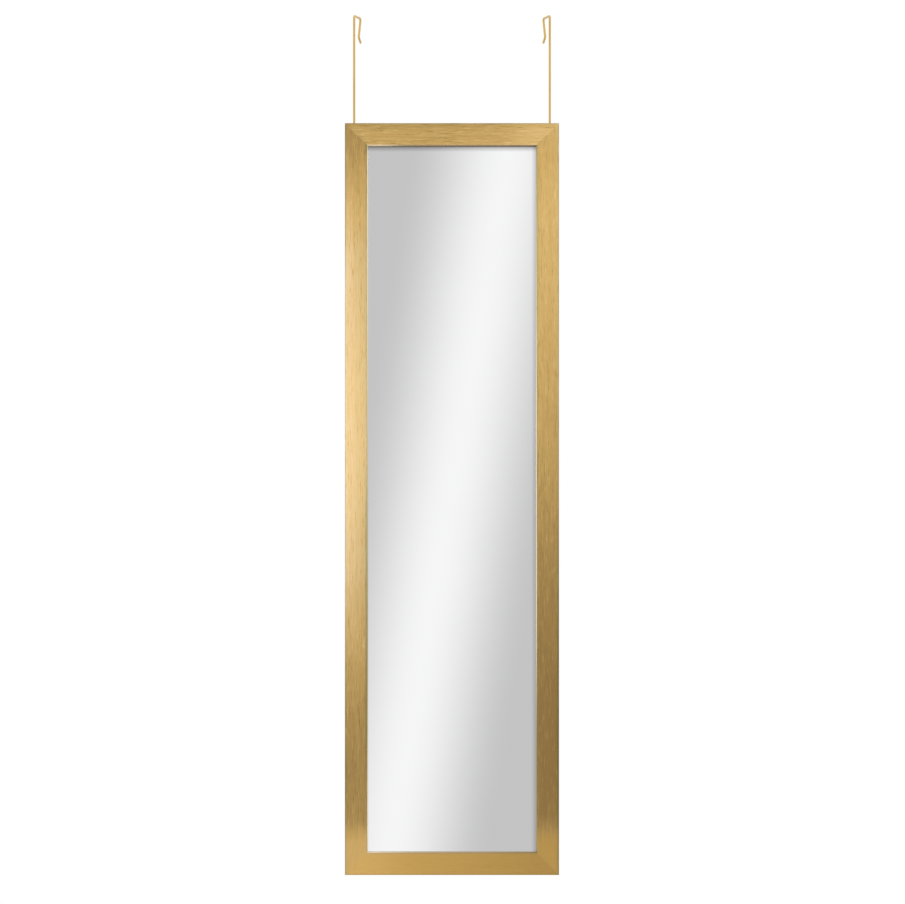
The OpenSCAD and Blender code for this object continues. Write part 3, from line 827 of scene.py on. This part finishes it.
def strip_wall():
    """Round wall that only reflections see: leaning pale strips on grey behind the camera.

    A strip's level falls off smoothly with the distance from its leaning middle line, and strips
    repeat at equal steps. Farther round, the level is a slow cosine of the turn. The wall is white at
    both sides and near the floor. It is a band between two rings of corners.
    """
    r = Recipe("strip_wall")
    # What the pane shows at a place is the wall farther out by this factor
    reach = 1 + WALL_RADIUS / VIEW_DISTANCE
    mid_x = CAMERA_X + (STRIP_MID_PX[0] - PHOTO_W / 2) * METRES_PER_PX * reach
    mid_z = CAMERA_Z + (PHOTO_H / 2 - STRIP_MID_PX[1]) * METRES_PER_PX * reach
    angle = r.math("ARCTAN2", r.x, r.math("MULTIPLY", r.y, -1.0))
    along = r.math("MULTIPLY", angle, WALL_RADIUS)
    lean = r.math("MULTIPLY", r.math("SUBTRACT", r.z, mid_z), STRIP_LEAN)
    off = r.math("SUBTRACT", r.math("SUBTRACT", along, mid_x), lean)
    step = 2 * math.pi * WALL_RADIUS / STRIP_COUNT
    upright = math.cos(math.atan(STRIP_LEAN))
    off = r.math("MULTIPLY", r.math("WRAP", off, step / 2, -step / 2), upright)
    half_width = STRIP_HALF_WIDTH_PX * METRES_PER_PX * reach
    level = r.span(r.math("ABSOLUTE", off), 0.0, half_width, STRIP_LEVEL, WALL_LEVEL)
    turn = r.math("ABSOLUTE", angle)
    wave = r.math("COSINE", r.math("MULTIPLY", angle, SWELL_COUNT))
    swell = r.math("MULTIPLY_ADD", wave, SWELL_HEIGHT, SWELL_LEVEL)
    level = r.blend(r.span(turn, SWELL_FROM, SWELL_TO), level, swell)
    side = r.math("MULTIPLY", r.span(turn, *SIDE_WALL_FROM), r.span(turn, *SIDE_WALL_TO, 1.0, 0.0))
    below = r.span(r.z, *WALL_FADE)
    level = r.blend(r.math("MAXIMUM", side, below), level, 1.0)
    material = glow(r, WHITE, level)
    turns = ring_turns()
    ring = np.stack([WALL_RADIUS * np.sin(turns), -WALL_RADIUS * np.cos(turns)], 1)
    low = np.column_stack([ring, np.full(RING_CORNERS, WALL_LOW)])
    high = np.column_stack([ring, np.full(RING_CORNERS, WALL_HIGH)])
    i = np.arange(RING_CORNERS)
    j = (i + 1) % RING_CORNERS
    faces = np.stack([i, j, j + RING_CORNERS, i + RING_CORNERS], 1)
    wall = stage_piece("strip_wall", np.vstack([low, high]), faces, material)
    for ray in WALL_UNSEEN_BY:
        setattr(wall, f"visible_{ray}", False)


def pale_floor():
    """Round floor below the mirror: matt grey that fades with the distance from its middle to white."""
    r = Recipe("pale_floor")
    square = r.math("ADD", r.math("MULTIPLY", r.x, r.x), r.math("MULTIPLY", r.y, r.y))
    radius = r.math("SQRT", square)
    fade = r.span(radius, FLOOR_FADE_FROM, FLOOR_RADIUS * FLOOR_FADE_SHARE)
    ground = r.node("ShaderNodeBsdfDiffuse", Color=FLOOR_GREY)
    white = r.node("ShaderNodeEmission", Color=WHITE, Strength=1.0)
    blend = r.node("ShaderNodeMixShader", Fac=fade)
    r.tree.links.new(ground.outputs[0], blend.inputs[1])
    r.tree.links.new(white.outputs[0], blend.inputs[2])
    r.tree.links.new(blend.outputs[0], r.out.inputs["Surface"])
    turns = ring_turns()
    ring = np.column_stack([FLOOR_RADIUS * np.cos(turns), FLOOR_RADIUS * np.sin(turns),
                            np.full(RING_CORNERS, FLOOR_Z)])
    face = np.arange(RING_CORNERS).reshape(1, RING_CORNERS)
    return stage_piece("pale_floor", ring, face, r.material)


def softbox(name, place, aim, size, watts):
    """Area lamp at place, turned along the line from there to aim. size is its width and height."""
    data = bpy.data.lights.new(name, "AREA")
    data.shape = "RECTANGLE"
    data.size, data.size_y = size
    data.energy = watts
    lamp = bpy.data.objects.new(name, data)
    lamp.location = place
    towards = np.array(aim) - np.array(place)
    lamp.rotation_euler = Vector(towards).to_track_quat("-Z", "Z").to_euler()
    lamp.visible_camera = False
    bpy.context.scene.collection.objects.link(lamp)
    return lamp


def keep_off(lamp, unlit_objects):
    """The lamp doesn't light these objects.

    So the pane mirrors no lamp, the hooks' wire keeps its even gold and the floor has no hot spot.
    """
    unlit = bpy.data.collections.new(lamp.name + "_unlit")
    for i, unlit_object in enumerate(unlit_objects):
        unlit.objects.link(unlit_object)
        unlit.collection_objects[i].light_linking.link_state = "EXCLUDE"
    lamp.light_linking.receiver_collection = unlit


def make_world():
    """White light from all round, at WORLD_LEVEL on matt surfaces.

    Its level is 1 for camera, glossy and transmission rays, by the greatest of their three flags, so
    the background is white, also where metal and glass show it.
    """
    world = bpy.data.worlds.new("studio")
    bpy.context.scene.world = world
    world.use_nodes = True
    tree = world.node_tree
    tree.nodes.clear()
    path = tree.nodes.new("ShaderNodeLightPath")
    shown = tree.nodes.new("ShaderNodeMath")
    shown.operation = "MAXIMUM"
    mirrored = tree.nodes.new("ShaderNodeMath")
    mirrored.operation = "MAXIMUM"
    tree.links.new(path.outputs["Is Camera Ray"], shown.inputs[0])
    tree.links.new(path.outputs["Is Glossy Ray"], mirrored.inputs[0])
    tree.links.new(path.outputs["Is Transmission Ray"], mirrored.inputs[1])
    tree.links.new(mirrored.outputs[0], shown.inputs[1])
    level = tree.nodes.new("ShaderNodeMapRange")
    level.inputs["To Min"].default_value = WORLD_LEVEL
    level.inputs["To Max"].default_value = 1.0
    tree.links.new(shown.outputs[0], level.inputs["Value"])
    back = tree.nodes.new("ShaderNodeBackground")
    back.inputs["Color"].default_value = WHITE
    tree.links.new(level.outputs[0], back.inputs["Strength"])
    out = tree.nodes.new("ShaderNodeOutputWorld")
    tree.links.new(back.outputs[0], out.inputs["Surface"])


make_camera()
wear("frame_left_stile",
     foil_moulding("foil_left", ALONG_Z, painted_sheen_left, bevel_highlight_left, painted_light_left, LEFT_PAINTED_BESIDE_BEVEL))
wear("frame_right_stile",
     foil_moulding("foil_right", ALONG_Z, painted_sheen_right, bevel_highlight_right, painted_light_right, RIGHT_PAINTED_BESIDE_BEVEL))
wear("frame_top_rail",
     foil_moulding("foil_top", ALONG_X, painted_sheen_top, bevel_highlight_top, painted_light_top, TOP_PAINTED_BESIDE_BEVEL,
                   TOP_LIVELINESS, TOP_BEVEL_SHIFT))
wear("frame_bottom_rail",
     foil_moulding("foil_bottom", ALONG_X, painted_sheen_bottom, bevel_highlight_bottom, painted_light_bottom, BOTTOM_PAINTED_BESIDE_BEVEL))
wear("mirror_glass", silvered_glass())
wear("backing_board", hardboard())
zinc = rolled_steel("zinc_plate", ZINC_DARK, ZINC_LIGHT, ZINC_ROUGH)
bright = rolled_steel("bright_steel", STEEL_DARK, STEEL_LIGHT, STEEL_ROUGH)
wire = gold_wire()
rubber = black_rubber()
for side in ("left", "right"):
    wear(f"hanger_plate_{side}", zinc)
    wear(f"hanger_screws_{side}", zinc)
    wear(f"hook_{side}", wire)
    wear(f"bumper_top_{side}", rubber)
    wear(f"bumper_bottom_{side}", rubber)
wear("bumper_screws", zinc)
wear("corner_v_nails", bright)
wear("retaining_points", bright)
make_world()
strip_wall()
floor = pale_floor()
lamps = [softbox(*settings) for settings in LAMPS]
unlit_pieces = [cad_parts[node] for node in UNLIT_NODES]
unlit_pieces.append(floor)
for lamp in lamps:
    keep_off(lamp, unlit_pieces)
bpy.context.scene.view_settings.view_transform = "Standard"
